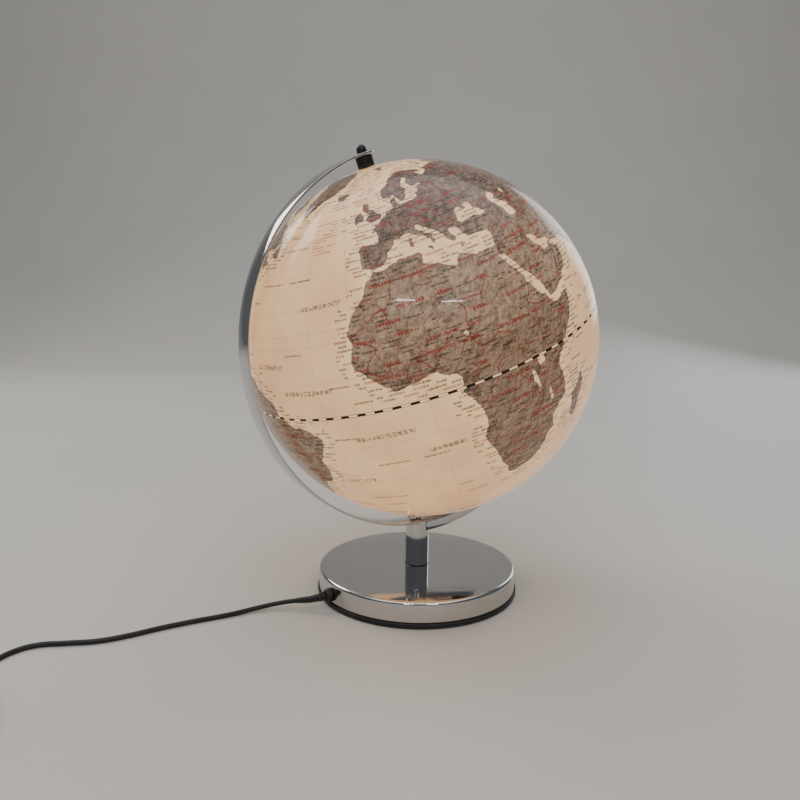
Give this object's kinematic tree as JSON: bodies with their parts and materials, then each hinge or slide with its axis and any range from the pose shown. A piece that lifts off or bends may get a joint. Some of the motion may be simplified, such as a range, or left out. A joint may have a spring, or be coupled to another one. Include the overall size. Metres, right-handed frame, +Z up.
{
  "type": "illuminated desktop globe on stand",
  "caption": "Illuminated desktop globe that spins on a tilted steel arc, with a round weighted base, a lead with an in-line switch and a flat plug.",
  "frame": {"origin": "on the table, at the centre of the base's underside, under the stem's axis", "axes": "+Z up; the arc lies in the XZ plane and passes the globe on its -X side; the globe's axis leans towards -X at the top by 21.5 degrees"},
  "size_m": [0.5858, 0.3, 0.3794],
  "materials": {
    "chrome": "mirror polished",
    "black_plastic": "satin moulded",
    "cast_iron": "as cast",
    "zinc": "zinc plated",
    "brass": "turned",
    "felt": "felt",
    "white_plastic": "satin moulded",
    "opal_plastic": "opal, lit from inside",
    "globe_print": "printed translucent shell, lit from inside",
    "cord_rubber": "satin"
  },
  "bodies": {
    "stand": {"base_shell": "chrome", "stem_tube": "chrome", "meridian_arc": "chrome", "arc_cover": "chrome", "arc_screw_1": "chrome", "arc_screw_2": "chrome", "base_ring": "black_plastic", "bottom_plate": "black_plastic", "cord_gland": "black_plastic", "gland_nut": "black_plastic", "cap_nut": "black_plastic", "switch_lower": "black_plastic", "switch_upper": "black_plastic", "plug_body": "black_plastic", "base_weight": "cast_iron", "plate_screw_1": "zinc", "plate_screw_2": "zinc", "plate_screw_3": "zinc", "stem_washer": "zinc", "stem_nut": "zinc", "north_pin": "zinc", "pivot_nut": "zinc", "rocker_pin": "zinc", "stem_foot_plug": "brass", "stem_head_plug": "brass", "pivot_nipple": "brass", "holder_thread": "brass", "bulb_cap": "brass", "plug_pin_1": "brass", "plug_pin_2": "brass", "base_pad": "felt", "holder_cap": "white_plastic", "holder_body": "white_plastic", "bulb_neck": "white_plastic", "inner_lead": "white_plastic", "bulb_globe": "opal_plastic", "cord_to_switch": "cord_rubber", "cord_to_coil": "cord_rubber", "cord_to_plug": "cord_rubber", "cord_coil": "cord_rubber"},
    "globe": {"north_shell": "globe_print", "south_shell": "globe_print", "equator_ring": "globe_print", "north_bush": "black_plastic", "north_lock_ring": "black_plastic", "south_bush": "black_plastic", "south_lock_ring": "black_plastic"},
    "rocker": {"switch_rocker": "black_plastic"}
  },
  "joints": [
    {"name": "globe_spin", "type": "hinge", "parent": "stand", "child": "globe", "pos_m": [0, 0, 0.2226], "axis": [-0.3665, 0, 0.9304], "continuous": true},
    {"name": "rocker_tip", "type": "hinge", "parent": "stand", "child": "rocker", "pos_m": [-0.3545, -0.03, 0.012], "axis": [-1, 0, 0], "range_deg": [0, 16]}
  ]
}
